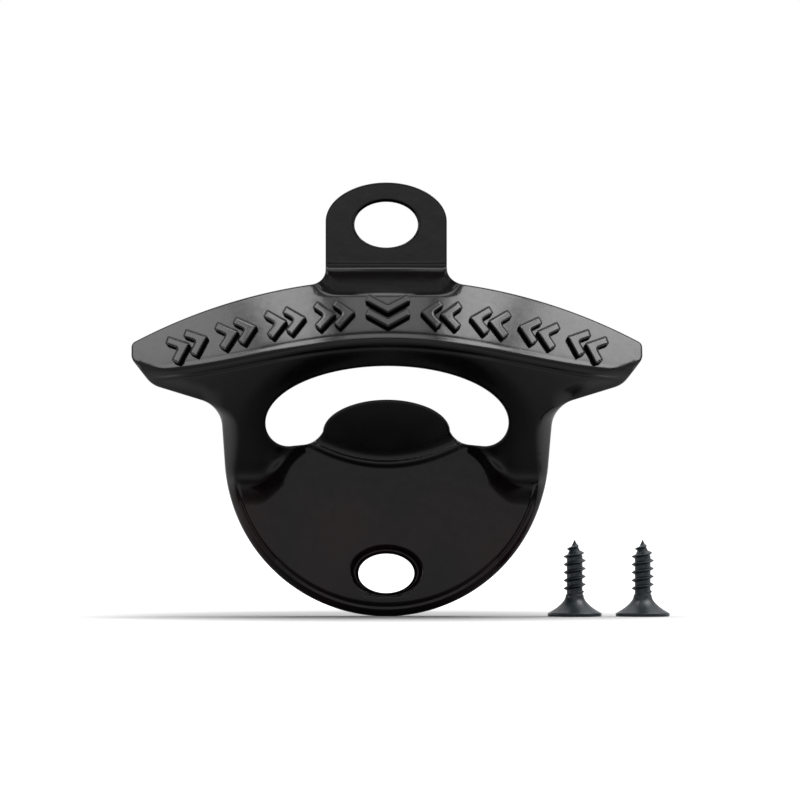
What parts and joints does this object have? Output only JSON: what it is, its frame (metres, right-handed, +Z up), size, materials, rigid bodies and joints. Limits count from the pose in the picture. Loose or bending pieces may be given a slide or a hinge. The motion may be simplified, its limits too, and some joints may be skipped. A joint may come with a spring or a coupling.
{
  "type": "wall-mounted bottle opener",
  "caption": "Pressed steel wall bottle opener with a winged brow, a hooded mouth over a raised tooth and a rimmed lower plate, with its loose countersunk wood screws.",
  "frame": {"origin": "on the wall plane, midway between the upper and the lower screw hole", "axes": "+X to the right seen from the front, +Y into the wall, +Z up; the wall is the plane y = 0 and the front faces -Y"},
  "size_m": [0.0846, 0.0258, 0.0683],
  "materials": {
    "black_paint": "gloss",
    "black_oxide": "satin"
  },
  "bodies": {
    "opener": {"opener_body": "black_paint"},
    "left_screw": {"left_screw": "black_oxide"},
    "right_screw": {"right_screw": "black_oxide"}
  },
  "joints": [
    {"name": "left_screw_turn", "type": "hinge", "parent": "opener", "child": "left_screw", "pos_m": [0.0296, -0.00425, -0.0342], "axis": [0, 0, 1], "continuous": true},
    {"name": "right_screw_turn", "type": "hinge", "parent": "opener", "child": "right_screw", "pos_m": [0.0403, -0.00425, -0.0342], "axis": [0, 0, 1], "continuous": true}
  ]
}
